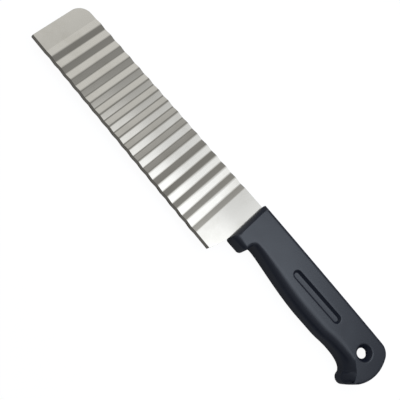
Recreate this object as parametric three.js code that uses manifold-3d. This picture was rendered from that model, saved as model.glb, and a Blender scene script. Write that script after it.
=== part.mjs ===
import * as THREE from 'three';
import { mergeVertices } from 'three/addons/utils/BufferGeometryUtils.js';
import Module from 'manifold-3d';

// Crinkle cutter: one corrugated steel sheet that runs back as a tang, and one grip moulded around
// that tang. Millimetres. While the pieces are drawn, x is 0 at the front of the grip, negative
// towards the tip and positive towards the butt; y is 0 on the straight spine and falls towards the
// cutting edge; z is 0 in the middle of the flat sheet. The last lines stand the knife on its flat side.

// Blade sheet and its outline
const SHEET = 1.2;
const BLADE_LENGTH = 170;
const TIP_WIDTH = 40;
const HEEL_WIDTH = 45.4;
const HEEL_SETBACK = 4.4;
const HEEL_BULGE = 1.2;
const TIP_CORNER_RADIUS = 8.5;

// Corrugation: straight flanks between round bends. The flat tip is level with the troughs and the
// flat heel with the crests, so the full waves are followed by half a one
const TIP_FLAT = 12.75;
const WAVE_PITCH = 9.14;
const WAVE_COUNT = 15;
const WAVE_DEPTH = 0.85;
const BEND_RADIUS = 3.6;
const BEND_STEPS = 4;

// Ground cutting edge, on the upper face only
const BEVEL_WIDTH = 1.9;
const EDGE_LAND = 0.2;

// Tang and the two holes that the grip is keyed through
const TANG_LENGTH = 74;
const TANG_WIDTH = 15;
const TANG_DROP = 14.5;
const TANG_END_RADIUS = 4;
const KEY_HOLE_DIAMETER = 6;
const KEY_HOLES_FROM_FRONT = [26, 58];

// Grip outline, depths measured down from the spine line
const GRIP_LENGTH = 120.4;
const GRIP_THICKNESS = 16;
const GRIP_EDGE_ROUND = 2.5;
const BACK_DROP_FRONT = 0.3;
const BACK_DROP_PULL = 0.9;
const BACK_DROP_BUTT = 2.5;
const GUARD_DEPTH = 30.2;
const GUARD_LENGTH = 12.4;
const GUARD_CORNER_RADIUS = 3;
const NOTCH_DEPTH = 23.4;
const NOTCH_RADIUS = 2.2;
const RISE_PULL = 7.4;
const RISE_PUSH = 20;
const RISE_PUSH_DEPTH = 28.4;
const BELLY_DEPTH = 29.3;
const BELLY_START = 62;
const BELLY_END = 74;
const NECK_DEPTH = 27.7;
const NECK_FROM_BUTT = 27.4;
const THROAT_PULL = 8.5;
const HOOK_DEPTH = 36.8;
const HOOK_RADIUS = 4.2;
const BUTT_RADIUS = 24.5;
const BUTT_DROP = 18;
const BUTT_CORNER_RADIUS = 8.5;

// Sunk panel on the upper face
const PANEL_LENGTH = 41.3;
const PANEL_WIDTH = 6;
const PANEL_DEPTH = 2.2;
const PANEL_FROM_FRONT = 61.7;
const PANEL_DROP = 15.3;

// Hole to hang the knife by: a mouth on the upper face, a neck below it and a dish on the hidden face
const HANG_MOUTH_DIAMETER = 10.8;
const HANG_NECK_DIAMETER = 6.4;
const HANG_NECK_DEPTH = 3.9;
const HANG_DISH_DIAMETER = 20.6;
const HANG_HOLE_FROM_BUTT = 14.5;
const HANG_HOLE_DROP = 16.4;

// Clearances
const FIT_GAP = 0.3;
const CUT_MARGIN = 1;

// Steps of the round shapes
const CURVE_STEPS = 10;
const ROUND_STEPS = 4;
const HOLE_SIDES = 28;
const LEAST_STEP = 0.05;
const WELD_DISTANCE = 1e-4;

const BLADE_WIDEST = Math.max(TIP_WIDTH, HEEL_WIDTH);
const BLADE_NARROWEST = Math.min(TIP_WIDTH, HEEL_WIDTH);

const wasm = await Module();
wasm.setup();

function solid(geometry) {
  const bare = geometry.clone();
  bare.deleteAttribute('normal');
  bare.deleteAttribute('uv');
  const merged = mergeVertices(bare, WELD_DISTANCE);
  return new wasm.Manifold(new wasm.Mesh({
    numProp: 3,
    vertProperties: new Float32Array(merged.attributes.position.array),
    triVerts: new Uint32Array(merged.index.array),
  }));
}

function meshOf(name, body, material) {
  const cut = body.getMesh();
  const geometry = new THREE.BufferGeometry();
  geometry.setAttribute('position', new THREE.BufferAttribute(new Float32Array(cut.vertProperties), 3));
  geometry.setIndex(new THREE.BufferAttribute(new Uint32Array(cut.triVerts), 1));
  geometry.computeVertexNormals();
  const mesh = new THREE.Mesh(geometry, material);
  mesh.name = name;
  return mesh;
}

// A plan outline made into a slab between two heights
function slab(shape, low, high) {
  const geometry = new THREE.ExtrudeGeometry(shape, {
    depth: high - low,
    bevelEnabled: false,
    curveSegments: CURVE_STEPS,
  });
  return geometry.translate(0, 0, low);
}

// A lengthways profile (x, height) made into a strip between two y values
function strip(profile, nearY, farY) {
  const geometry = new THREE.ExtrudeGeometry(profile, { depth: farY - nearY, bevelEnabled: false });
  return geometry.rotateX(Math.PI / 2).translate(0, farY, 0);
}

// The corrugated line at a height above the middle of the sheet, from tip to tang end
function waveLine(height) {
  const quarter = WAVE_PITCH / 4;
  const drop = BEND_RADIUS - WAVE_DEPTH / 2;
  const slope = Math.atan2(quarter, drop) - Math.acos(BEND_RADIUS / Math.hypot(quarter, drop));
  const lastBend = 2 * WAVE_COUNT + 1;
  const points = [new THREE.Vector2(-BLADE_LENGTH - CUT_MARGIN, height - WAVE_DEPTH)];
  for (let bend = 0; bend <= lastBend; bend += 1) {
    const x = TIP_FLAT - BLADE_LENGTH + bend * WAVE_PITCH / 2;
    const isCrest = bend % 2 === 1;
    const side = isCrest ? 1 : -1;
    const radius = BEND_RADIUS + side * height;
    const centre = isCrest ? -BEND_RADIUS : BEND_RADIUS - WAVE_DEPTH;
    const from = bend === 0 ? 0 : -slope;
    const to = bend === lastBend ? 0 : slope;
    for (let step = 0; step <= BEND_STEPS; step += 1) {
      const angle = from + (to - from) * step / BEND_STEPS;
      points.push(new THREE.Vector2(x + radius * Math.sin(angle), centre + side * radius * Math.cos(angle)));
    }
  }
  points.push(new THREE.Vector2(TANG_LENGTH + CUT_MARGIN, height));
  return points;
}

// The tang behind the front of the grip, grown all round by a clearance
function traceTang(shape, grow) {
  const low = -TANG_DROP - TANG_WIDTH / 2 - grow;
  const high = -TANG_DROP + TANG_WIDTH / 2 + grow;
  const end = TANG_LENGTH + grow;
  const radius = TANG_END_RADIUS + grow;
  shape.lineTo(end - radius, low);
  shape.absarc(end - radius, low + radius, radius, -Math.PI / 2, 0, false);
  shape.absarc(end - radius, high - radius, radius, 0, Math.PI / 2, false);
}

function circle(shape, x, y, radius) {
  shape.absarc(x, y, radius, 0, 2 * Math.PI, false);
  return shape;
}

function bladeOutline() {
  const shoulder = -FIT_GAP;
  const guardLevel = -GUARD_DEPTH + GUARD_CORNER_RADIUS;
  const heelX = -HEEL_SETBACK;
  const shape = new THREE.Shape();
  shape.moveTo(-BLADE_LENGTH, -TIP_WIDTH);
  shape.lineTo(heelX, -HEEL_WIDTH);
  shape.quadraticCurveTo(
    (heelX + shoulder) / 2 + HEEL_BULGE, (guardLevel - HEEL_WIDTH) / 2,
    shoulder, guardLevel,
  );
  shape.lineTo(shoulder, -TANG_DROP - TANG_WIDTH / 2);
  traceTang(shape, 0);
  shape.lineTo(shoulder, -TANG_DROP + TANG_WIDTH / 2);
  shape.lineTo(shoulder, 0);
  shape.lineTo(-BLADE_LENGTH + TIP_CORNER_RADIUS, 0);
  shape.absarc(
    -BLADE_LENGTH + TIP_CORNER_RADIUS, -TIP_CORNER_RADIUS, TIP_CORNER_RADIUS,
    Math.PI / 2, Math.PI, false,
  );
  shape.closePath();
  for (const x of KEY_HOLES_FROM_FRONT) {
    shape.holes.push(circle(new THREE.Path(), x, -TANG_DROP, KEY_HOLE_DIAMETER / 2));
  }
  return shape;
}

// What the grinding takes off: everything above the upper wave, tilted down towards the edge line
function bevelCutter() {
  const takenOff = SHEET - EDGE_LAND;
  const top = SHEET / 2 + takenOff + CUT_MARGIN;
  const profile = new THREE.Shape([
    ...waveLine(SHEET / 2),
    new THREE.Vector2(TANG_LENGTH + CUT_MARGIN, top),
    new THREE.Vector2(-BLADE_LENGTH - CUT_MARGIN, top),
  ]);
  const cutter = strip(profile, -BLADE_WIDEST - CUT_MARGIN, -BLADE_NARROWEST + BEVEL_WIDTH + CUT_MARGIN);
  const edge = new THREE.Vector2(BLADE_LENGTH - HEEL_SETBACK, TIP_WIDTH - HEEL_WIDTH).normalize();
  const inward = new THREE.Vector2(-edge.y, edge.x);
  const fall = takenOff / BEVEL_WIDTH;
  const offset = inward.x * BLADE_LENGTH + inward.y * TIP_WIDTH - BEVEL_WIDTH;
  const tilt = new THREE.Matrix4().set(
    1, 0, 0, 0,
    0, 1, 0, 0,
    fall * inward.x, fall * inward.y, 1, fall * offset,
    0, 0, 0, 1,
  );
  return cutter.applyMatrix4(tilt);
}

function makeBlade() {
  const sheet = new THREE.Shape([...waveLine(SHEET / 2), ...waveLine(-SHEET / 2).reverse()]);
  const corrugated = solid(strip(sheet, -BLADE_WIDEST - CUT_MARGIN, CUT_MARGIN));
  const reach = WAVE_DEPTH + SHEET;
  const body = corrugated
    .intersect(solid(slab(bladeOutline(), -reach, reach)))
    .subtract(solid(bevelCutter()));
  const steel = new THREE.MeshStandardMaterial({ color: 0xb9b6af, roughness: 0.32, metalness: 1 });
  return meshOf('blade', body, steel);
}

// A curve that leaves and arrives level
function easeTo(shape, x, y) {
  const from = shape.currentPoint;
  const middle = (from.x + x) / 2;
  shape.bezierCurveTo(middle, from.y, middle, y, x, y);
}

function gripOutline() {
  const shape = new THREE.Shape();
  const buttX = GRIP_LENGTH - BUTT_RADIUS;
  const buttY = -BUTT_DROP;
  const guardY = -GUARD_DEPTH + GUARD_CORNER_RADIUS;
  const rearX = GUARD_LENGTH - GUARD_CORNER_RADIUS;
  const notchY = -NOTCH_DEPTH - NOTCH_RADIUS;

  // The round of the hook and the round of the upper butt corner both lie inside the butt circle
  const hookY = -HOOK_DEPTH + HOOK_RADIUS;
  const hookX = buttX + Math.sqrt((BUTT_RADIUS - HOOK_RADIUS) ** 2 - (hookY - buttY) ** 2);
  const cornerY = -BACK_DROP_BUTT - BUTT_CORNER_RADIUS;
  const cornerX = buttX + Math.sqrt((BUTT_RADIUS - BUTT_CORNER_RADIUS) ** 2 - (cornerY - buttY) ** 2);
  const hookAngle = Math.atan2(hookY - buttY, hookX - buttX);
  const cornerAngle = Math.atan2(cornerY - buttY, cornerX - buttX);

  shape.moveTo(0, -BACK_DROP_FRONT);
  shape.lineTo(0, guardY);
  shape.absarc(GUARD_CORNER_RADIUS, guardY, GUARD_CORNER_RADIUS, Math.PI, 1.5 * Math.PI, false);
  shape.absarc(rearX, guardY, GUARD_CORNER_RADIUS, 1.5 * Math.PI, 2 * Math.PI, false);
  const riseX = GUARD_LENGTH + NOTCH_RADIUS;
  shape.absarc(riseX, notchY, NOTCH_RADIUS, Math.PI, Math.PI / 2, true);
  shape.bezierCurveTo(
    riseX + RISE_PULL, -NOTCH_DEPTH,
    BELLY_START - RISE_PUSH, -RISE_PUSH_DEPTH,
    BELLY_START, -BELLY_DEPTH,
  );
  shape.lineTo(BELLY_END, -BELLY_DEPTH);
  const neckX = GRIP_LENGTH - NECK_FROM_BUTT;
  easeTo(shape, neckX, -NECK_DEPTH);
  const throatX = hookX - HOOK_RADIUS;
  shape.bezierCurveTo(
    neckX + THROAT_PULL, -NECK_DEPTH,
    throatX, (hookY - NECK_DEPTH) / 2,
    throatX, hookY,
  );
  shape.absarc(hookX, hookY, HOOK_RADIUS, Math.PI, 2 * Math.PI + hookAngle, false);
  shape.absarc(buttX, buttY, BUTT_RADIUS, hookAngle, cornerAngle, false);
  shape.absarc(cornerX, cornerY, BUTT_CORNER_RADIUS, cornerAngle, Math.PI / 2, false);
  shape.quadraticCurveTo(cornerX / 2, -BACK_DROP_PULL, 0, -BACK_DROP_FRONT);
  return shape;
}

// The outline as points that are all clear of each other, where its curves join too
function clearPoints(shape) {
  const clear = [];
  for (const point of shape.getPoints(CURVE_STEPS)) {
    const near = (other) => other.distanceTo(point) < LEAST_STEP;
    if (!clear.some(near)) {
      clear.push(point);
    }
  }
  return clear;
}

// The pocket around the tang, open at the front, with the moulded keys left standing in it
function tangPocket() {
  const height = SHEET / 2 + FIT_GAP;
  const shape = new THREE.Shape();
  shape.moveTo(-CUT_MARGIN, -TANG_DROP - TANG_WIDTH / 2 - FIT_GAP);
  traceTang(shape, FIT_GAP);
  shape.lineTo(-CUT_MARGIN, -TANG_DROP + TANG_WIDTH / 2 + FIT_GAP);
  shape.closePath();
  for (const x of KEY_HOLES_FROM_FRONT) {
    shape.holes.push(circle(new THREE.Path(), x, -TANG_DROP, KEY_HOLE_DIAMETER / 2 - FIT_GAP));
  }
  return slab(shape, -height, height);
}

function sunkPanel() {
  const half = (PANEL_LENGTH - PANEL_WIDTH) / 2;
  const radius = PANEL_WIDTH / 2;
  const shape = new THREE.Shape();
  shape.absarc(PANEL_FROM_FRONT - half, -PANEL_DROP, radius, Math.PI / 2, 1.5 * Math.PI, false);
  shape.absarc(PANEL_FROM_FRONT + half, -PANEL_DROP, radius, -Math.PI / 2, Math.PI / 2, false);
  shape.closePath();
  return slab(shape, GRIP_THICKNESS / 2 - PANEL_DEPTH, GRIP_THICKNESS / 2 + CUT_MARGIN);
}

// The hang hole as a turned plug, from the dish on the hidden face up to the mouth
function hangHole() {
  const face = GRIP_THICKNESS / 2;
  const dish = HANG_DISH_DIAMETER / 2;
  const neck = HANG_NECK_DIAMETER / 2;
  const mouth = HANG_MOUTH_DIAMETER / 2;
  const profile = [
    new THREE.Vector2(0, -face - CUT_MARGIN),
    new THREE.Vector2(dish, -face - CUT_MARGIN),
    new THREE.Vector2(dish, -face),
    new THREE.Vector2(neck, face - HANG_NECK_DEPTH),
    new THREE.Vector2(mouth, face),
    new THREE.Vector2(mouth, face + CUT_MARGIN),
    new THREE.Vector2(0, face + CUT_MARGIN),
  ];
  const geometry = new THREE.LatheGeometry(profile, HOLE_SIDES);
  return geometry.rotateX(Math.PI / 2).translate(GRIP_LENGTH - HANG_HOLE_FROM_BUTT, -HANG_HOLE_DROP, 0);
}

// A slab whose outline is rounded over at both faces: rings of inset outlines, closed by two caps
function roundedSlab(outline, thickness, round) {
  const count = outline.length;
  const mitres = outline.map((point, index) => {
    const before = outline[(index + count - 1) % count];
    const after = outline[(index + 1) % count];
    const first = new THREE.Vector2(before.y - point.y, point.x - before.x).normalize();
    const second = new THREE.Vector2(point.y - after.y, after.x - point.x).normalize();
    return first.clone().add(second).divideScalar(1 + first.dot(second));
  });
  const positions = [];
  const triangles = [];
  const addRing = (inset, height) => outline.forEach((point, index) => {
    positions.push(point.x + inset * mitres[index].x, point.y + inset * mitres[index].y, height);
  });
  for (const side of [-1, 1]) {
    for (let step = 0; step <= ROUND_STEPS; step += 1) {
      const turn = (side < 0 ? step : ROUND_STEPS - step) / ROUND_STEPS * Math.PI / 2;
      addRing(round * (1 - Math.sin(turn)), side * (thickness / 2 - round * (1 - Math.cos(turn))));
    }
  }
  const rings = 2 * (ROUND_STEPS + 1);
  for (let ring = 0; ring < rings - 1; ring += 1) {
    for (let index = 0; index < count; index += 1) {
      const next = (index + 1) % count;
      const low = ring * count;
      const high = low + count;
      triangles.push(low + index, low + next, high + next, low + index, high + next, high + index);
    }
  }
  const face = outline.map((point, index) => point.clone().addScaledVector(mitres[index], round));
  const top = (rings - 1) * count;
  for (const [a, b, c] of THREE.ShapeUtils.triangulateShape(face, [])) {
    triangles.push(c, b, a, top + a, top + b, top + c);
  }
  const geometry = new THREE.BufferGeometry();
  geometry.setAttribute('position', new THREE.Float32BufferAttribute(positions, 3));
  geometry.setIndex(triangles);
  return geometry;
}

function makeGrip() {
  const moulding = roundedSlab(clearPoints(gripOutline()), GRIP_THICKNESS, GRIP_EDGE_ROUND);
  const body = solid(moulding)
    .subtract(solid(tangPocket()))
    .subtract(solid(sunkPanel()))
    .subtract(solid(hangHole()));
  const plastic = new THREE.MeshStandardMaterial({ color: 0x23272f, roughness: 0.35, metalness: 0 });
  return meshOf('handle', body, plastic);
}

// Lying flat: origin under the middle of the knife, on the surface that it lies on
const knife = new THREE.Group();
knife.add(makeBlade(), makeGrip());
knife.position.set((BLADE_LENGTH - GRIP_LENGTH) / 2, BLADE_WIDEST / 2, GRIP_THICKNESS / 2);

export default knife;
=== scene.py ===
import math

import bmesh
import bpy
from mathutils import Matrix, Vector, noise


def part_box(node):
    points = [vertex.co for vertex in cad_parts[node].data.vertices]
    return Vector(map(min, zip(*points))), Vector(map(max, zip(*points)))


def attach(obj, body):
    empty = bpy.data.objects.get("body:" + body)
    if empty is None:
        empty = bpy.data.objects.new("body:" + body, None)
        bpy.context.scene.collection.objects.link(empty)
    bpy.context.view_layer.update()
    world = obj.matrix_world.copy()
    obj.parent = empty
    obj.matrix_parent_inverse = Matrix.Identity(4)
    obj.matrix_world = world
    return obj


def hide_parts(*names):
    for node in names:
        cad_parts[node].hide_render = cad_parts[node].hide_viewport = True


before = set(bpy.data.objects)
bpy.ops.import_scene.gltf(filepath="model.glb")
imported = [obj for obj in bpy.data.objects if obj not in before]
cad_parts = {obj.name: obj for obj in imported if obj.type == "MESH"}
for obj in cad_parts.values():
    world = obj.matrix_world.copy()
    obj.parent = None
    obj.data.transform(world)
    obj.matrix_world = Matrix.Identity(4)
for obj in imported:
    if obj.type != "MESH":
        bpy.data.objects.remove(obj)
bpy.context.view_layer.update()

# Blade
# One sheet of satin stainless steel, pressed into a corrugation and cut with a blunt square tip.
# The edge is ground on the upper face only, and the tang runs back inside the grip moulded on it.
MM = 0.001
blade_low, blade_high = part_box("blade")
grip_low, grip_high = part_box("handle")
GRIP_FRONT = Vector((grip_low.x, blade_high.y, (grip_low.z + grip_high.z) / 2))
drawing = Matrix.Translation(GRIP_FRONT) @ Matrix.Scale(MM, 4)

SHEET = 1.2
BLADE_LENGTH = (grip_low.x - blade_low.x) / MM
BLADE_WIDTH = (blade_high.y - blade_low.y) / MM
TIP_WIDTH = 40.0
HEEL_SETBACK = 4.4
HEEL_BULGE = 1.2
GUARD_DEPTH = 30.2
GUARD_FRONT_RADIUS = 1.5
SHOULDER_GAP = 0.06
TIP_CORNER_RADIUS = 8.5
EDGE_CORNER_RADIUS = 0.7
CORNER_STEPS = 14
TIP_FLAT = 12.75
WAVE_PITCH = 9.14
WAVE_DEPTH = 0.85
BEND_COUNT = 32
BEND_RADIUS = 3.6
BEND_STEPS = 8
ROW_STEP = 3.0
EDGE_GRIND = 1.5
EDGE_LAND = 0.2
EASED_EDGE = 0.07
EASED_STEPS = 2
EASED_FROM = 50
SHARP_FROM = 20
TANG_LENGTH = 74.0
TANG_WIDTH = 15.0
TANG_DROP = 14.5
TANG_END_RADIUS = 4.0
SHEET_RIPPLE = 0.02
RIPPLE_LENGTH = 17.0


def bow(start, pull, end, steps):
    """Points on the curve that leaves start towards pull and arrives at end from it."""
    shares = [step / steps for step in range(steps + 1)]
    return [start.lerp(pull, share).lerp(pull.lerp(end, share), share) for share in shares]


def slice_across(mesh, point, normal):
    """Cuts the faces in two along a plane, so that they can bend there."""
    bmesh.ops.bisect_plane(
        mesh, geom=mesh.verts[:] + mesh.edges[:] + mesh.faces[:], plane_co=point, plane_no=normal
    )


def round_corner(mesh, corner, radius):
    """Rounds the corner of a flat face that lies nearest to a place."""
    near = min(mesh.verts, key=lambda vert: (vert.co - corner).length)
    bmesh.ops.bevel(
        mesh, geom=[near], offset=radius, segments=CORNER_STEPS, profile=0.5,
        affect="VERTICES", material=-1,
    )


quarter = WAVE_PITCH / 4
bend_drop = BEND_RADIUS - WAVE_DEPTH / 2
flank_slope = math.atan2(quarter, bend_drop) - math.acos(BEND_RADIUS / math.hypot(quarter, bend_drop))
bend_reach = BEND_RADIUS * math.sin(flank_slope)
bend_places = [TIP_FLAT - BLADE_LENGTH + bend * WAVE_PITCH / 2 for bend in range(BEND_COUNT)]


def wave_at(x):
    """Height and slope angle of the sheet's middle at x: troughs and crests joined by straight flanks.

    The flat at the tip lies level with the troughs, and the flat at the heel with the crests.
    """
    if x <= bend_places[0]:
        return -WAVE_DEPTH, 0.0
    if x >= bend_places[-1]:
        return 0.0, 0.0
    bend = round((x - bend_places[0]) / (WAVE_PITCH / 2))
    away = x - bend_places[bend]
    is_crest = bend % 2 == 1
    turn = max(-1.0, min(1.0, away / bend_reach)) * flank_slope
    if abs(away) < bend_reach:
        turn = math.asin(away / BEND_RADIUS)
    rise = BEND_RADIUS * (1 - math.cos(turn)) + math.tan(abs(turn)) * max(0.0, abs(away) - bend_reach)
    return (-rise, -turn) if is_crest else (rise - WAVE_DEPTH, turn)


tip_edge = Vector((-BLADE_LENGTH, -TIP_WIDTH, 0))
tip_spine = Vector((-BLADE_LENGTH, 0, 0))
heel = Vector((-HEEL_SETBACK, -BLADE_WIDTH, 0))
shoulder_low = Vector((-SHOULDER_GAP, -GUARD_DEPTH + GUARD_FRONT_RADIUS, 0))
heel_pull = (heel + shoulder_low) / 2 + Vector((HEEL_BULGE, 0, 0))
tang_low = -TANG_DROP - TANG_WIDTH / 2
tang_high = -TANG_DROP + TANG_WIDTH / 2
tang_corners = [Vector((TANG_LENGTH, tang_low, 0)), Vector((TANG_LENGTH, tang_high, 0))]
plan = [
    tip_edge,
    *bow(heel, heel_pull, shoulder_low, CORNER_STEPS),
    Vector((-SHOULDER_GAP, tang_low, 0)),
    *tang_corners,
    Vector((-SHOULDER_GAP, tang_high, 0)),
    Vector((-SHOULDER_GAP, 0, 0)),
    tip_spine,
]
sheet = bmesh.new()
sheet.faces.new([sheet.verts.new(point) for point in plan])
round_corner(sheet, tip_spine, TIP_CORNER_RADIUS)
round_corner(sheet, tip_edge, EDGE_CORNER_RADIUS)
for corner in tang_corners:
    round_corner(sheet, corner, TANG_END_RADIUS)

for place in bend_places:
    for step in range(-BEND_STEPS, BEND_STEPS + 1):
        reach = BEND_RADIUS * math.sin(flank_slope * step / BEND_STEPS)
        slice_across(sheet, (place + reach, 0, 0), (1, 0, 0))
row = -ROW_STEP
while row > -BLADE_WIDTH:
    slice_across(sheet, (0, row, 0), (0, 1, 0))
    row -= ROW_STEP
edge_inward = Vector((BLADE_WIDTH - TIP_WIDTH, heel.x - tip_edge.x, 0)).normalized()
slice_across(sheet, tip_edge + edge_inward * EDGE_GRIND, edge_inward)

raised = bmesh.ops.extrude_face_region(sheet, geom=sheet.faces[:])["geom"]
upper_verts = {item for item in raised if isinstance(item, bmesh.types.BMVert)}
for vert in sheet.verts:
    plan_point = vert.co.copy()
    height, angle = wave_at(plan_point.x)
    on_top = vert in upper_verts
    half = SHEET / 2 if on_top else -SHEET / 2
    ripple = SHEET_RIPPLE * noise.noise(plan_point / RIPPLE_LENGTH)
    vert.co = plan_point + Vector((-math.sin(angle) * half, 0, height + math.cos(angle) * half + ripple))
    from_edge = (plan_point - tip_edge).dot(edge_inward)
    if on_top and from_edge < EDGE_GRIND:
        vert.co.z -= (SHEET - EDGE_LAND) * (1 - from_edge / EDGE_GRIND)
bmesh.ops.recalc_face_normals(sheet, faces=sheet.faces[:])


def sharp_edges(mesh, least):
    """The edges whose faces turn by more than that many degrees."""
    return [edge for edge in mesh.edges if edge.calc_face_angle(0) > math.radians(least)]


def finish_mesh(mesh, name, place):
    """Shades the mesh smooth apart from its sharp edges, places it and makes it an object."""
    for face in mesh.faces:
        face.smooth = True
    for edge in sharp_edges(mesh, SHARP_FROM):
        edge.smooth = False
    mesh.transform(place)
    data = bpy.data.meshes.new(name)
    mesh.to_mesh(data)
    mesh.free()
    piece = bpy.data.objects.new(name, data)
    bpy.context.scene.collection.objects.link(piece)
    return piece


bmesh.ops.bevel(
    sheet, geom=sharp_edges(sheet, EASED_FROM), offset=EASED_EDGE, segments=EASED_STEPS, profile=0.5,
    affect="EDGES", material=-1, clamp_overlap=True,
)
blade = finish_mesh(sheet, "corrugated_blade", drawing)


class Wire:
    """A socket of a node tree: sums, differences and products add Math nodes, node() adds any other."""

    def __init__(self, tree, socket=None):
        self.tree = tree
        self.socket = socket

    def node(self, kind, settings, sockets, output=0):
        made = self.tree.nodes.new(kind)
        for name, value in settings.items():
            setattr(made, name, value)
        for name, value in sockets.items():
            if isinstance(value, Wire):
                self.tree.links.new(value.socket, made.inputs[name])
            else:
                made.inputs[name].default_value = value
        return Wire(self.tree, made.outputs[output] if made.outputs else None)

    def maths(self, operation, *values):
        return self.node("ShaderNodeMath", {"operation": operation}, dict(enumerate(values)))

    def __add__(self, other):
        return self.maths("ADD", self, other)

    def __radd__(self, other):
        return self.maths("ADD", other, self)

    def __sub__(self, other):
        return self.maths("SUBTRACT", self, other)

    def __rsub__(self, other):
        return self.maths("SUBTRACT", other, self)

    def __mul__(self, other):
        return self.maths("MULTIPLY", self, other)

    def __rmul__(self, other):
        return self.maths("MULTIPLY", other, self)

    def ramp(self, low, high, curve="SMOOTHSTEP"):
        """0 below low, 1 above high, and between them eased, unless another curve is named."""
        sockets = {"Value": self, "From Min": low, "From Max": high}
        return self.node("ShaderNodeMapRange", {"interpolation_type": curve}, sockets)

    def mix(self, first, second):
        """From the first colour to the second as this wire goes from 0 to 1.

        The Mix node repeats its socket names for each kind of data, so its colours go by number.
        """
        sockets = {0: self, 6: first, 7: second}
        return self.node("ShaderNodeMix", {"data_type": "RGBA"}, sockets, output=2)


def new_finish(name):
    """An empty material, and its tree as a wire."""
    material = bpy.data.materials.new(name)
    material.use_nodes = True
    material.node_tree.nodes.clear()
    return material, Wire(material.node_tree)


EVEN = (1, 1, 1)
GRAIN_CONTRAST = 0.6


def grain(tree, size, detail, spread=EVEN):
    """Noise on the object's own coordinates: grains of that size in mm, drawn out by a small spread."""
    place = tree.node("ShaderNodeTexCoord", {}, {}, output="Object")
    drawn = tree.node("ShaderNodeMapping", {}, {"Vector": place, "Scale": spread})
    sockets = {"Vector": drawn, "Scale": 1 / (size * MM), "Detail": detail, "Roughness": GRAIN_CONTRAST}
    return tree.node("ShaderNodeTexNoise", {}, sockets)


STEEL = (0.695, 0.69, 0.675, 1)
STEEL_DULL = (0.60, 0.59, 0.565, 1)
STEEL_ROUGHNESS = 0.11
BRUSH_GRAIN = 0.25
BRUSH_SPREAD = (1, 0.03, 1)
BRUSH_DEPTH = 0.01
BRUSH_BUMP = 0.05
BRUSH_ROUGHNESS = 0.07
CLOUD_GRAIN = 14.0
CLOUD_RANGE = (0.45, 0.75)
CLOUD_WEAR = 0.5
SPECK_GRAIN = 0.9
SPECK_RANGE = (0.70, 0.80)
SPECK_WEAR = 0.5
WEAR_ROUGHNESS = 0.04
steel_finish, tree = new_finish("satin_steel")
brushing = grain(tree, BRUSH_GRAIN, detail=3, spread=BRUSH_SPREAD)
clouding = grain(tree, CLOUD_GRAIN, detail=4).ramp(*CLOUD_RANGE)
specks = grain(tree, SPECK_GRAIN, detail=2).ramp(*SPECK_RANGE)
worn = clouding * CLOUD_WEAR + specks * SPECK_WEAR
steel_bump = tree.node("ShaderNodeBump", {}, {
    "Strength": BRUSH_BUMP,
    "Distance": BRUSH_DEPTH * MM,
    "Height": brushing,
})
tree.node("ShaderNodeOutputMaterial", {}, {
    "Surface": tree.node("ShaderNodeBsdfPrincipled", {}, {
        "Base Color": worn.mix(STEEL, STEEL_DULL),
        "Metallic": 1.0,
        "Roughness": STEEL_ROUGHNESS + brushing * BRUSH_ROUGHNESS + worn * WEAR_ROUGHNESS,
        "Normal": steel_bump,
    }),
})
blade.data.materials.append(steel_finish)
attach(blade, "root")
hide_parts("blade")

# Grip
# One injection moulding of bluish-black satin plastic around the tang: a finger guard, a rounded belly,
# a hooked butt, a hang hole and a bare sunk panel on the upper face. The tang fills its inner pocket.
GRIP_LENGTH = (grip_high.x - grip_low.x) / MM
GRIP_HALF = (grip_high.z - grip_low.z) / 2 / MM
CROWN = 0.2
FRONT_CORNER_RADIUS = 0.3
BACK_DROP_FRONT = 0.3
BACK_DROP_PULL = 0.9
BACK_DROP_BUTT = 2.5
GUARD_LENGTH = 12.4
GUARD_REAR_RADIUS = 3.0
NOTCH_DEPTH = 23.4
NOTCH_RADIUS = 2.2
RISE_PULL = 7.4
RISE_PUSH = 20.0
RISE_PUSH_DEPTH = 28.4
BELLY_DEPTH = 29.3
BELLY_START = 62.0
BELLY_END = 74.0
NECK_DEPTH = 27.7
NECK_FROM_BUTT = 27.4
THROAT_PULL = 8.5
HOOK_DEPTH = 36.8
HOOK_RADIUS = 4.2
HOOK_REACH = 1.6
HOOK_BLEND = 9.0
HOOK_BULGE = 1.2
HOOK_LEAD = 3.2
BUTT_RADIUS = 24.5
BUTT_DROP = 18.0
BUTT_CORNER_RADIUS = 8.5
BACK_STEPS = 60
EDGE_STEP = 0.8
LEAST_ARC_STEPS = 4
ROUND_STEPS = 9
FACE_STEP = 2.0
CORNER_REACH = 2.0
SINKS = [(7.4, -15.1), (27.1, -14.7), (88.3, -14.6)]
SINK_RADIUS = 4.0
SINK_DEPTH = 0.1
SLOT_GAP = 0.05

# How the edge is rounded: how far onto the upper face, how far down the wall, the radius underneath, and
# the tilt in degrees where the upper rounding meets the wall
FRONT_ROUND = Vector((2.6, 4.2, 2.6, 68))
GUARD_ROUND = Vector((4.8, 3.0, 2.0, 90))
GUARD_REAR_ROUND = Vector((2.8, 3.0, 2.0, 90))
NOTCH_ROUND = Vector((2.7, 3.0, 2.0, 90))
RISE_ROUND = Vector((5.4, 3.8, 3.4, 90))
BELLY_ROUND = Vector((6.8, 4.6, 5.0, 90))
NECK_ROUND = Vector((6.5, 4.8, 2.8, 90))
THROAT_ROUND = Vector((4.1, 7.3, 1.2, 62))
HOOK_ROUND = Vector((1.0, 7.3, 2.0, 66))
BUTT_ROUND = Vector((1.4, 1.4, 1.4, 90))
BACK_ROUND = Vector((2.4, 2.0, 2.4, 90))
UNDERSIDE_TILT = 90


def arc(x, y, radius, start, end):
    """Points on an arc, from one angle in degrees to another."""
    steps = max(LEAST_ARC_STEPS, round(abs(math.radians(end - start)) * radius / EDGE_STEP))
    angles = [math.radians(start + (end - start) * step / steps) for step in range(steps + 1)]
    return [Vector((x + radius * math.cos(angle), y + radius * math.sin(angle), 0)) for angle in angles]


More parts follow.
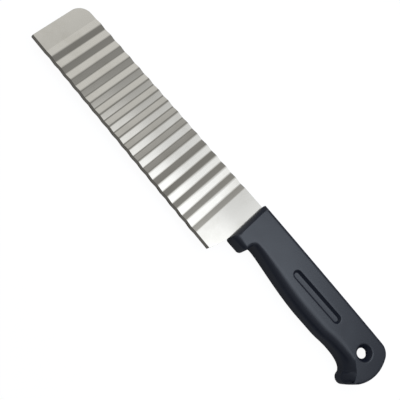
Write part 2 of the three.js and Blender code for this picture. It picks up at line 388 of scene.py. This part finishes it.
def line(start, end, step=EDGE_STEP):
    """Points on a straight stretch, about a step apart."""
    steps = max(1, round((end - start).length / step))
    return [start.lerp(end, share / steps) for share in range(steps + 1)]


def curve(start, pull, push, end):
    """A cubic that leaves start towards pull and arrives at end from push."""
    steps = round((end - start).length / EDGE_STEP)
    shares = [step / steps for step in range(steps + 1)]
    inner = [bow(start, pull, push, steps), bow(pull, push, end, steps)]
    return [first.lerp(second, share) for first, second, share in zip(*inner, shares)]


def ease(start, end):
    """A curve that leaves and arrives level."""
    middle = (start.x + end.x) / 2
    return curve(start, Vector((middle, start.y, 0)), Vector((middle, end.y, 0)), end)


butt_x = GRIP_LENGTH - BUTT_RADIUS
guard_front_y = -GUARD_DEPTH + GUARD_FRONT_RADIUS
guard_rear_y = -GUARD_DEPTH + GUARD_REAR_RADIUS
notch_y = -NOTCH_DEPTH - NOTCH_RADIUS
hook_y = -HOOK_DEPTH + HOOK_RADIUS
hook_x = butt_x + math.sqrt((BUTT_RADIUS - HOOK_RADIUS) ** 2 - (hook_y + BUTT_DROP) ** 2)
corner_y = -BACK_DROP_BUTT - BUTT_CORNER_RADIUS
corner_x = butt_x + math.sqrt((BUTT_RADIUS - BUTT_CORNER_RADIUS) ** 2 - (corner_y + BUTT_DROP) ** 2)
hook_angle = math.degrees(math.atan2(hook_y + BUTT_DROP, hook_x - butt_x))
corner_angle = math.degrees(math.atan2(corner_y + BUTT_DROP, corner_x - butt_x))

slot_low = Vector((0, tang_low - SLOT_GAP, 0))
slot_high = Vector((0, tang_high + SLOT_GAP, 0))
front_top = Vector((0, -BACK_DROP_FRONT - FRONT_CORNER_RADIUS, 0))
front_foot = Vector((0, guard_front_y, 0))
guard_front = Vector((GUARD_FRONT_RADIUS, -GUARD_DEPTH, 0))
guard_rear = Vector((GUARD_LENGTH - GUARD_REAR_RADIUS, -GUARD_DEPTH, 0))
notch_start = Vector((GUARD_LENGTH, notch_y, 0))
notch_end = Vector((GUARD_LENGTH + NOTCH_RADIUS, -NOTCH_DEPTH, 0))
rise_pull = notch_end + Vector((RISE_PULL, 0, 0))
rise_push = Vector((BELLY_START - RISE_PUSH, -RISE_PUSH_DEPTH, 0))
belly_start = Vector((BELLY_START, -BELLY_DEPTH, 0))
belly_end = Vector((BELLY_END, -BELLY_DEPTH, 0))
neck = Vector((GRIP_LENGTH - NECK_FROM_BUTT, -NECK_DEPTH, 0))
throat = Vector((hook_x - HOOK_RADIUS, hook_y, 0))
throat_pull = neck + Vector((THROAT_PULL, 0, 0))
throat_push = Vector((throat.x, (throat.y + neck.y) / 2, 0))
back_end = Vector((corner_x, -BACK_DROP_BUTT, 0))
back_pull = Vector((corner_x / 2, -BACK_DROP_PULL, 0))
back_start = Vector((FRONT_CORNER_RADIUS, -BACK_DROP_FRONT, 0))
rise = curve(notch_end, rise_pull, rise_push, belly_start)
midway = len(rise) // 2
face_angle = hook_angle + HOOK_REACH
blend_angle = face_angle + HOOK_BLEND
hook_tip = arc(hook_x, hook_y, HOOK_RADIUS, 180, 360 + hook_angle)
hook_tip += arc(butt_x, -BUTT_DROP, BUTT_RADIUS, hook_angle, face_angle)[1:]

# Each stretch of the outline, from the notch behind the guard all round, with the roundings at its ends
stretches = [
    (rise[:midway + 1], NOTCH_ROUND, RISE_ROUND),
    (rise[midway:], RISE_ROUND, BELLY_ROUND),
    (line(belly_start, belly_end), BELLY_ROUND, BELLY_ROUND),
    (ease(belly_end, neck), BELLY_ROUND, NECK_ROUND),
    (curve(neck, throat_pull, throat_push, throat), NECK_ROUND, THROAT_ROUND),
    (hook_tip, THROAT_ROUND, HOOK_ROUND),
    (arc(butt_x, -BUTT_DROP, BUTT_RADIUS, face_angle, blend_angle), HOOK_ROUND, BUTT_ROUND),
    (arc(butt_x, -BUTT_DROP, BUTT_RADIUS, blend_angle, corner_angle), BUTT_ROUND, BUTT_ROUND),
    (arc(corner_x, corner_y, BUTT_CORNER_RADIUS, corner_angle, 90), BUTT_ROUND, BACK_ROUND),
    (bow(back_end, back_pull, back_start, BACK_STEPS), BACK_ROUND, BACK_ROUND),
    (arc(back_start.x, front_top.y, FRONT_CORNER_RADIUS, 90, 180), BACK_ROUND, FRONT_ROUND),
    (line(front_top, slot_high), FRONT_ROUND, FRONT_ROUND),
    (line(slot_high, slot_low, TANG_WIDTH), FRONT_ROUND, FRONT_ROUND),
    (line(slot_low, front_foot), FRONT_ROUND, FRONT_ROUND),
    (arc(guard_front.x, guard_front_y, GUARD_FRONT_RADIUS, 180, 270), FRONT_ROUND, GUARD_ROUND),
    (line(guard_front, guard_rear), GUARD_ROUND, GUARD_REAR_ROUND),
    (arc(guard_rear.x, guard_rear_y, GUARD_REAR_RADIUS, 270, 360), GUARD_REAR_ROUND, GUARD_REAR_ROUND),
    (line(Vector((GUARD_LENGTH, guard_rear_y, 0)), notch_start), GUARD_REAR_ROUND, GUARD_REAR_ROUND),
    (arc(notch_end.x, notch_y, NOTCH_RADIUS, 180, 90), GUARD_REAR_ROUND, NOTCH_ROUND),
]
rim = []
for points, start, end in stretches:
    last = len(points) - 1
    rim += [(point, start.lerp(end, index / last)) for index, point in enumerate(points[:-1])]


def inward_at(index):
    """The direction into the moulding at a point of the rim, square to the outline there."""
    before = rim[index - 1][0]
    after = rim[(index + 1) % len(rim)][0]
    along = (after - before).normalized()
    return Vector((-along.y, along.x, 0))


def rim_index(place):
    """The number of the rim's point that lies nearest to a place."""
    return min(range(len(rim)), key=lambda index: (rim[index][0] - place).length)


def lead_past(edge, start, end, pull):
    """Leads the edge of a face past a tight turn of the outline, in one bow."""
    edge[start:end + 1] = bow(edge[start], pull, edge[end], end - start)


upper_edge = [point + inward_at(index) * rounding.x for index, (point, rounding) in enumerate(rim)]
lower_edge = [point + inward_at(index) * rounding.z for index, (point, rounding) in enumerate(rim)]
for edge, part in ((upper_edge, 0), (lower_edge, 2)):
    inset = FRONT_ROUND[part]
    back_y = -BACK_DROP_FRONT - BACK_ROUND[part]
    foot_y = -GUARD_DEPTH + GUARD_ROUND[part]
    on_back = rim_index(Vector((inset + CORNER_REACH, -BACK_DROP_FRONT, 0)))
    under_back = rim_index(Vector((0, back_y - CORNER_REACH, 0)))
    lead_past(edge, on_back, under_back, Vector((inset, back_y, 0)))
    over_guard = rim_index(Vector((0, foot_y + CORNER_REACH, 0)))
    on_guard = rim_index(Vector((inset + CORNER_REACH, -GUARD_DEPTH, 0)))
    lead_past(edge, over_guard, on_guard, Vector((inset, foot_y, 0)))
face_end = rim_index(hook_tip[-1])
face_start = rim_index(throat + Vector((0, HOOK_LEAD, 0)))
face_pull = (upper_edge[face_start] + upper_edge[face_end]) / 2 + Vector((HOOK_BULGE, HOOK_BULGE, 0))
lead_past(upper_edge, face_start, face_end, face_pull)


def crown_at(point):
    """How far the face falls away from its middle, and into the shallow sinks over the thick places."""
    across = (point.y + TANG_DROP) / TANG_DROP
    fall = CROWN * min(1.0, across * across)
    for sink_x, sink_y in SINKS:
        away = math.hypot(point.x - sink_x, point.y - sink_y) / SINK_RADIUS
        fall += SINK_DEPTH * math.exp(-away * away)
    return fall


moulding = bmesh.new()


def add_loop(points):
    """A closed loop of edges through the points."""
    verts = [moulding.verts.new(point) for point in points]
    return [moulding.edges.new((vert, verts[index - 1])) for index, vert in enumerate(verts)]


def grow_loop(edges, points):
    """A further loop of faces from a loop of edges to points in the same order."""
    extruded = bmesh.ops.extrude_edge_only(moulding, edges=edges)["geom"]
    verts = [item for item in extruded if isinstance(item, bmesh.types.BMVert)]
    for vert, point in zip(verts, points):
        vert.co = point
    return [item for item in extruded if isinstance(item, bmesh.types.BMEdge) and not item.is_manifold
            and all(end in verts for end in item.verts)]


def rim_level(share, side):
    """The rim's points at a share of its rounding: 0 on the face, 1 on the wall.

    A rounding that is deeper than it is wide leaves the face at a crisp edge.
    """
    points = []
    for index, (point, rounding) in enumerate(rim):
        edge = (upper_edge if side > 0 else lower_edge)[index]
        depth = rounding.y if side > 0 else rounding.z
        end = math.radians(rounding.w if side > 0 else UNDERSIDE_TILT)
        start = max(0.0, 2 * math.atan2(depth, (point - edge).length) - end)
        turn = start + (end - start) * share
        out = (math.sin(turn) - math.sin(start)) / (math.sin(end) - math.sin(start))
        down = depth * (math.cos(start) - math.cos(turn)) / (math.cos(start) - math.cos(end))
        points.append(edge.lerp(point, out) + Vector((0, 0, side * (GRIP_HALF - down))))
    return points


shares = [step / ROUND_STEPS for step in range(ROUND_STEPS + 1)]
slot_half = SHEET / 2 + SLOT_GAP
levels = [rim_level(share, -1) for share in shares]
levels += [[point + Vector((0, 0, side * slot_half)) for point, rounding in rim] for side in (-1, 1)]
levels += [rim_level(share, 1) for share in reversed(shares)]
lower_face_rim = add_loop(levels[0])
upper_face_rim = lower_face_rim
for points in levels[1:]:
    upper_face_rim = grow_loop(upper_face_rim, points)


def rounded(before, corner, after, reach, steps):
    """The corner of a profile, rounded off towards its two neighbours."""
    start = corner + (before - corner).normalized() * reach
    end = corner + (after - corner).normalized() * reach
    return bow(start, corner, end, steps)


HANG_MOUTH_RADIUS = 5.4
HANG_MOUTH_ROUND = 0.7
HANG_NECK_RADIUS = 3.1
HANG_NECK_DEPTH = 3.9
HANG_NECK_ROUND = 0.3
HANG_DISH_RADIUS = 10.3
HANG_DISH_ROUND = 0.3
HANG_HOLE_FROM_BUTT = 14.5
HANG_HOLE_DROP = 16.4
HOLE_SIDES = 64
LIP_STEPS = 6
hole_centre = Vector((GRIP_LENGTH - HANG_HOLE_FROM_BUTT, -HANG_HOLE_DROP, 0))
on_upper_face = Vector((GRIP_LENGTH, GRIP_HALF))
hang_mouth = Vector((HANG_MOUTH_RADIUS, GRIP_HALF))
hang_neck = Vector((HANG_NECK_RADIUS, GRIP_HALF - HANG_NECK_DEPTH))
hang_dish = Vector((HANG_DISH_RADIUS, -GRIP_HALF))
on_lower_face = Vector((GRIP_LENGTH, -GRIP_HALF))


def hole_level(radius, height):
    """A ring of points around the hang hole's axis."""
    angles = [2 * math.pi * step / HOLE_SIDES for step in range(HOLE_SIDES)]
    ring = [Vector((math.cos(angle) * radius, math.sin(angle) * radius, height)) for angle in angles]
    return [hole_centre + point for point in ring]


hole_profile = rounded(on_upper_face, hang_mouth, hang_neck, HANG_MOUTH_ROUND, LIP_STEPS)
hole_profile += rounded(hang_mouth, hang_neck, hang_dish, HANG_NECK_ROUND, LIP_STEPS)
hole_profile += rounded(hang_neck, hang_dish, on_lower_face, HANG_DISH_ROUND, LIP_STEPS)
upper_hole_rim = add_loop(hole_level(*hole_profile[0]))
lower_hole_rim = upper_hole_rim
for radius, height in hole_profile[1:]:
    lower_hole_rim = grow_loop(lower_hole_rim, hole_level(radius, height))

PANEL_LENGTH = 41.3
PANEL_WIDTH = 6.0
PANEL_DEPTH = 2.2
PANEL_SLOPE = 1.3
PANEL_ROUND = 0.45
PANEL_FROM_FRONT = 61.7
PANEL_DROP = 15.3


def panel_level(inset, height):
    """The sunk panel's outline, round at both ends, drawn in by an inset."""
    half = (PANEL_LENGTH - PANEL_WIDTH) / 2
    radius = PANEL_WIDTH / 2
    ends = arc(PANEL_FROM_FRONT - half, -PANEL_DROP, radius, 90, 270)
    ends += arc(PANEL_FROM_FRONT + half, -PANEL_DROP, radius, -90, 90)
    points = []
    for point in ends:
        centre_x = max(PANEL_FROM_FRONT - half, min(PANEL_FROM_FRONT + half, point.x))
        centre = Vector((centre_x, -PANEL_DROP, 0))
        points.append(point - (point - centre).normalized() * inset + Vector((0, 0, height)))
    return points


panel_outside = Vector((-PANEL_LENGTH, GRIP_HALF))
panel_lip = Vector((0, GRIP_HALF))
panel_foot = Vector((PANEL_SLOPE, GRIP_HALF - PANEL_DEPTH))
panel_floor = Vector((PANEL_LENGTH, GRIP_HALF - PANEL_DEPTH))
panel_profile = rounded(panel_outside, panel_lip, panel_foot, PANEL_ROUND, LIP_STEPS)
panel_profile += rounded(panel_lip, panel_foot, panel_floor, PANEL_ROUND, LIP_STEPS)
upper_panel_rim = add_loop(panel_level(*panel_profile[0]))
panel_floor_rim = upper_panel_rim
for inset, height in panel_profile[1:]:
    panel_floor_rim = grow_loop(panel_floor_rim, panel_level(inset, height))
bmesh.ops.contextual_create(moulding, geom=panel_floor_rim)


def fill_face(loops, side):
    """Fills a flat face between its loops and cuts it into small tiles, so that it can be crowned."""
    filled = bmesh.ops.triangle_fill(
        moulding, use_beauty=True, edges=[edge for loop in loops for edge in loop], normal=(0, 0, side)
    )
    tiles = [item for item in filled["geom"] if isinstance(item, bmesh.types.BMFace)]
    for axis, reach in ((Vector((1, 0, 0)), GRIP_LENGTH), (Vector((0, -1, 0)), HOOK_DEPTH)):
        cut = FACE_STEP
        while cut < reach:
            corners = {vert for tile in tiles for vert in tile.verts}
            sides = {edge for tile in tiles for edge in tile.edges}
            made = bmesh.ops.bisect_plane(
                moulding, geom=[*corners, *sides, *tiles], plane_co=axis * cut, plane_no=axis
            )
            tiles = [item for item in made["geom"] if isinstance(item, bmesh.types.BMFace)]
            cut += FACE_STEP


fill_face([upper_face_rim, upper_hole_rim, upper_panel_rim], 1)
fill_face([lower_face_rim, lower_hole_rim], -1)
for vert in moulding.verts:
    share = vert.co.z / GRIP_HALF
    vert.co.z -= share * crown_at(vert.co)

slot_middle = (slot_low + slot_high) / 2
slot_face = min(
    (face for face in moulding.faces if len(face.verts) == 4),
    key=lambda face: (face.calc_center_median() - slot_middle).length,
)
pocket = bmesh.ops.extrude_discrete_faces(moulding, faces=[slot_face])["faces"]
pocket_verts = [vert for face in pocket for vert in face.verts]
bmesh.ops.translate(moulding, verts=pocket_verts, vec=(TANG_LENGTH, 0, 0))
bmesh.ops.recalc_face_normals(moulding, faces=moulding.faces[:])
handle = finish_mesh(moulding, "moulded_grip", drawing)

PLASTIC = (0.010, 0.014, 0.030, 1)
PLASTIC_WORN = (0.020, 0.024, 0.039, 1)
PLASTIC_SHEEN = (0.83, 0.90, 1.0, 1)
PLASTIC_IOR = 1.6
PLASTIC_GLOSS = 0.73
PLASTIC_ROUGHNESS = 0.29
SPARK_GRAIN = 0.28
SPARK_DEPTH = 0.03
SPARK_BUMP = 0.35
PATCH_GRAIN = 11.0
PATCH_RANGE = (0.45, 0.65)
PATCH_WEAR = 0.5
PATCH_ROUGHNESS = 0.08
SCUFF_GRAIN = 1.6
SCUFF_SPREAD = (1, 0.2, 1)
SCUFF_RANGE = (0.66, 0.80)
SCUFF_WEAR = 0.4
SCUFF_ROUGHNESS = 0.1
plastic_finish, tree = new_finish("satin_black_plastic")
spark = grain(tree, SPARK_GRAIN, detail=3)
patches = grain(tree, PATCH_GRAIN, detail=4)
scratches = grain(tree, SCUFF_GRAIN, detail=3, spread=SCUFF_SPREAD)
scuffs = scratches.ramp(*SCUFF_RANGE) * patches.ramp(*PATCH_RANGE)
plastic_bump = tree.node("ShaderNodeBump", {}, {
    "Strength": SPARK_BUMP,
    "Distance": SPARK_DEPTH * MM,
    "Height": spark,
})
tree.node("ShaderNodeOutputMaterial", {}, {
    "Surface": tree.node("ShaderNodeBsdfPrincipled", {}, {
        "Base Color": (patches * PATCH_WEAR + scuffs * SCUFF_WEAR).mix(PLASTIC, PLASTIC_WORN),
        "Roughness": PLASTIC_ROUGHNESS + patches * PATCH_ROUGHNESS + scuffs * SCUFF_ROUGHNESS,
        "IOR": PLASTIC_IOR,
        "Specular IOR Level": PLASTIC_GLOSS,
        "Specular Tint": PLASTIC_SHEEN,
        "Normal": plastic_bump,
    }),
})
handle.data.materials.append(plastic_finish)
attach(handle, "root")
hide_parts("handle")

# Floor
# A wide, plain table top under the knife. The camera sees it lifted to white, with the knife's soft
# shadow on it. The knife itself is lit by a dim grey table, and mirrors a little of the white.
FLOOR_SIZE = 6.0
FLOOR_TONE = (0.11, 0.12, 0.15, 1)
FLOOR_LIFT = 0.95
FLOOR_MIRRORED = 0.07
WHITE = (1, 1, 1, 1)
ground = bmesh.new()
bmesh.ops.create_grid(ground, x_segments=1, y_segments=1, size=FLOOR_SIZE / 2)
floor = finish_mesh(ground, "floor", Matrix.Translation((0, 0, grip_low.z)))


def ray_kind(tree, kind):
    """1 where the light path's ray is of that kind, 0 elsewhere."""
    return tree.node("ShaderNodeLightPath", {}, {}, output=f"Is {kind} Ray")


floor_finish, tree = new_finish("pale_table")
mirrored = ray_kind(tree, "Glossy") * FLOOR_MIRRORED
seen = ray_kind(tree, "Camera") + ray_kind(tree, "Transmission") + mirrored
table = tree.node("ShaderNodeBsdfDiffuse", {}, {"Color": FLOOR_TONE})
lift = tree.node("ShaderNodeEmission", {}, {"Color": WHITE, "Strength": seen * FLOOR_LIFT})
tree.node("ShaderNodeOutputMaterial", {}, {
    "Surface": tree.node("ShaderNodeAddShader", {}, {0: table, 1: lift}),
})
floor.data.materials.append(floor_finish)

# Studio light
# A scrim hangs low over the knife and past its spine: cool and bright over the heel and the grip, fading
# at the butt, grey over the blade's middle, warm and half bright past the tip, so that the corrugation
# shows light and dark flanks. The room around it is dim, and darkest low down beside the grip.
SCRIM_HEIGHT = 0.175
SCRIM_X = (-0.42, 0.24)
SCRIM_Y = (-0.06, 0.16)
SCRIM_WARM = (1.0, 0.985, 0.93, 1)
SCRIM_COOL = (0.97, 0.99, 1.0, 1)
WARM_TO_COOL = (-0.11, 0.03)

# Where the scrim's light rises or falls, in metres from the knife's middle, and by how much
NEAR_RISE = (-0.090, -0.005)
NEAR_LIGHT = 0.83
NEAR_GRIP_RISE = (-0.005, 0.045)
NEAR_GRIP_LIGHT = 0.36
NEAR_EXTRA = 0.14
NEAR_EXTRA_FALL = (0.045, 0.062)
NEAR_TO_FAR = (0.058, 0.078)
FAR_RISE = (-0.090, 0.020)
FAR_LIGHT = 0.62
FAR_GRIP_RISE = (0.015, 0.100)
FAR_GRIP_LIGHT = 0.66
MIDDLE_RISE = (-0.115, -0.090)
MIDDLE_LIGHT = 0.09
BUTT_FALL = (0.167, 0.250)
BUTT_SHADE = 0.72
END_FALL = (0.190, 0.212)
END_SHADE = 0.24
TIP_FALL = (-0.190, -0.112)
TIP_LIGHT = 0.47
BEYOND_FALL = (-0.232, -0.202)
BEYOND_LIGHT = 0.09
HEM_RISE = (-0.06, 0.03)
scrim = bpy.data.lights.new("scrim", "AREA")
scrim.shape = "RECTANGLE"
scrim.size = SCRIM_X[1] - SCRIM_X[0]
scrim.size_y = SCRIM_Y[1] - SCRIM_Y[0]
# With this power, a strength of 1 in the scrim's nodes looks white
scrim.energy = math.pi * scrim.size * scrim.size_y
scrim.use_nodes = True
scrim.node_tree.nodes.clear()
tree = Wire(scrim.node_tree)
spot = tree.node("ShaderNodeNewGeometry", {}, {}, output="Parametric")
along = tree.node("ShaderNodeSeparateXYZ", {}, {"Vector": spot}, output="X") * scrim.size + SCRIM_X[0]
across = tree.node("ShaderNodeSeparateXYZ", {}, {"Vector": spot}, output="Y") * scrim.size_y + SCRIM_Y[0]
near_edge = along.ramp(*NEAR_RISE) * NEAR_LIGHT + along.ramp(*NEAR_GRIP_RISE) * NEAR_GRIP_LIGHT
near_edge = near_edge * (1 + NEAR_EXTRA - across.ramp(*NEAR_EXTRA_FALL) * NEAR_EXTRA)
far_side = along.ramp(*FAR_RISE) * FAR_LIGHT + along.ramp(*FAR_GRIP_RISE) * FAR_GRIP_LIGHT
over_grip = near_edge + across.ramp(*NEAR_TO_FAR) * (far_side - near_edge)
over_grip = over_grip + along.ramp(*MIDDLE_RISE) * MIDDLE_LIGHT
fading = (along + across).ramp(*BUTT_FALL) * BUTT_SHADE + along.ramp(*END_FALL) * END_SHADE
past_tip = (1 - along.ramp(*TIP_FALL, "LINEAR")) * TIP_LIGHT
past_tip = past_tip + (1 - along.ramp(*BEYOND_FALL)) * BEYOND_LIGHT
hanging = across.ramp(*HEM_RISE)
tree.node("ShaderNodeOutputLight", {}, {
    "Surface": tree.node("ShaderNodeEmission", {}, {
        "Color": along.ramp(*WARM_TO_COOL).mix(SCRIM_WARM, SCRIM_COOL),
        "Strength": (over_grip * (1 - fading) + past_tip) * hanging,
    }),
})
hung = bpy.data.objects.new("scrim", scrim)
hung.location = (sum(SCRIM_X) / 2, sum(SCRIM_Y) / 2, SCRIM_HEIGHT)
bpy.context.scene.collection.objects.link(hung)

ROOM_NEAR_BLADE = 0.15
ROOM_NEAR_GRIP = 0.012
ROOM_FAR = 0.22
ROOM_TINT = (1.0, 0.97, 0.90, 1)
FILL = 2.0

# Where the room's tone changes, in parts of a unit vector towards the butt, the spine and the top
GRIP_DARK_START = (0.05, 0.15)
GRIP_DARK_END = (0.42, 0.58)
GRIP_DARK_TOP = (0.36, 0.56)
SPINE_RISE = (-0.6, 0.35)
world = bpy.data.worlds.new("studio")
bpy.context.scene.world = world
world.use_nodes = True
world.node_tree.nodes.clear()
tree = Wire(world.node_tree)
towards = tree.node("ShaderNodeTexCoord", {}, {})
to_butt = tree.node("ShaderNodeSeparateXYZ", {}, {"Vector": towards}, output="X")
to_spine = tree.node("ShaderNodeSeparateXYZ", {}, {"Vector": towards}, output="Y")
to_top = tree.node("ShaderNodeSeparateXYZ", {}, {"Vector": towards}, output="Z")
beside_grip = to_butt.ramp(*GRIP_DARK_START) * (1 - to_butt.ramp(*GRIP_DARK_END))
low_beside_grip = beside_grip * (1 - to_top.ramp(*GRIP_DARK_TOP))
near_side = ROOM_NEAR_BLADE + low_beside_grip * (ROOM_NEAR_GRIP - ROOM_NEAR_BLADE)
room = near_side + to_spine.ramp(*SPINE_RISE) * (ROOM_FAR - near_side)
backdrop = ray_kind(tree, "Camera") + ray_kind(tree, "Transmission")
lit = ray_kind(tree, "Glossy") + ray_kind(tree, "Diffuse") * FILL
tree.node("ShaderNodeOutputWorld", {}, {
    "Surface": tree.node("ShaderNodeBackground", {}, {
        "Color": backdrop.mix(ROOM_TINT, WHITE),
        "Strength": backdrop + lit * room,
    }),
})

# Camera
# A forearm's length above the knife, on the cutting edge's side, tilted towards the spine and turned so
# that the blade points to the upper left of a square picture.
LENS = 52.94
SENSOR_WIDTH = 36
NEAREST_SEEN = 0.01
CAMERA_PLACE = Vector((-4.1, -139.2, 339.4)) * MM
CAMERA_RIGHT = Vector((0.6595, 0.6970, 0.2816))
CAMERA_UP = Vector((-0.7517, 0.6115, 0.2471))
view = bpy.data.cameras.new("camera")
view.lens = LENS
view.sensor_width = SENSOR_WIDTH
view.clip_start = NEAREST_SEEN
camera = bpy.data.objects.new("camera", view)
backward = CAMERA_RIGHT.cross(CAMERA_UP)
camera.matrix_world = Matrix.Translation(CAMERA_PLACE) @ Matrix(
    (CAMERA_RIGHT, CAMERA_UP, backward)
).transposed().to_4x4()
bpy.context.scene.collection.objects.link(camera)
bpy.context.scene.camera = camera
bpy.context.scene.view_settings.view_transform = "Standard"
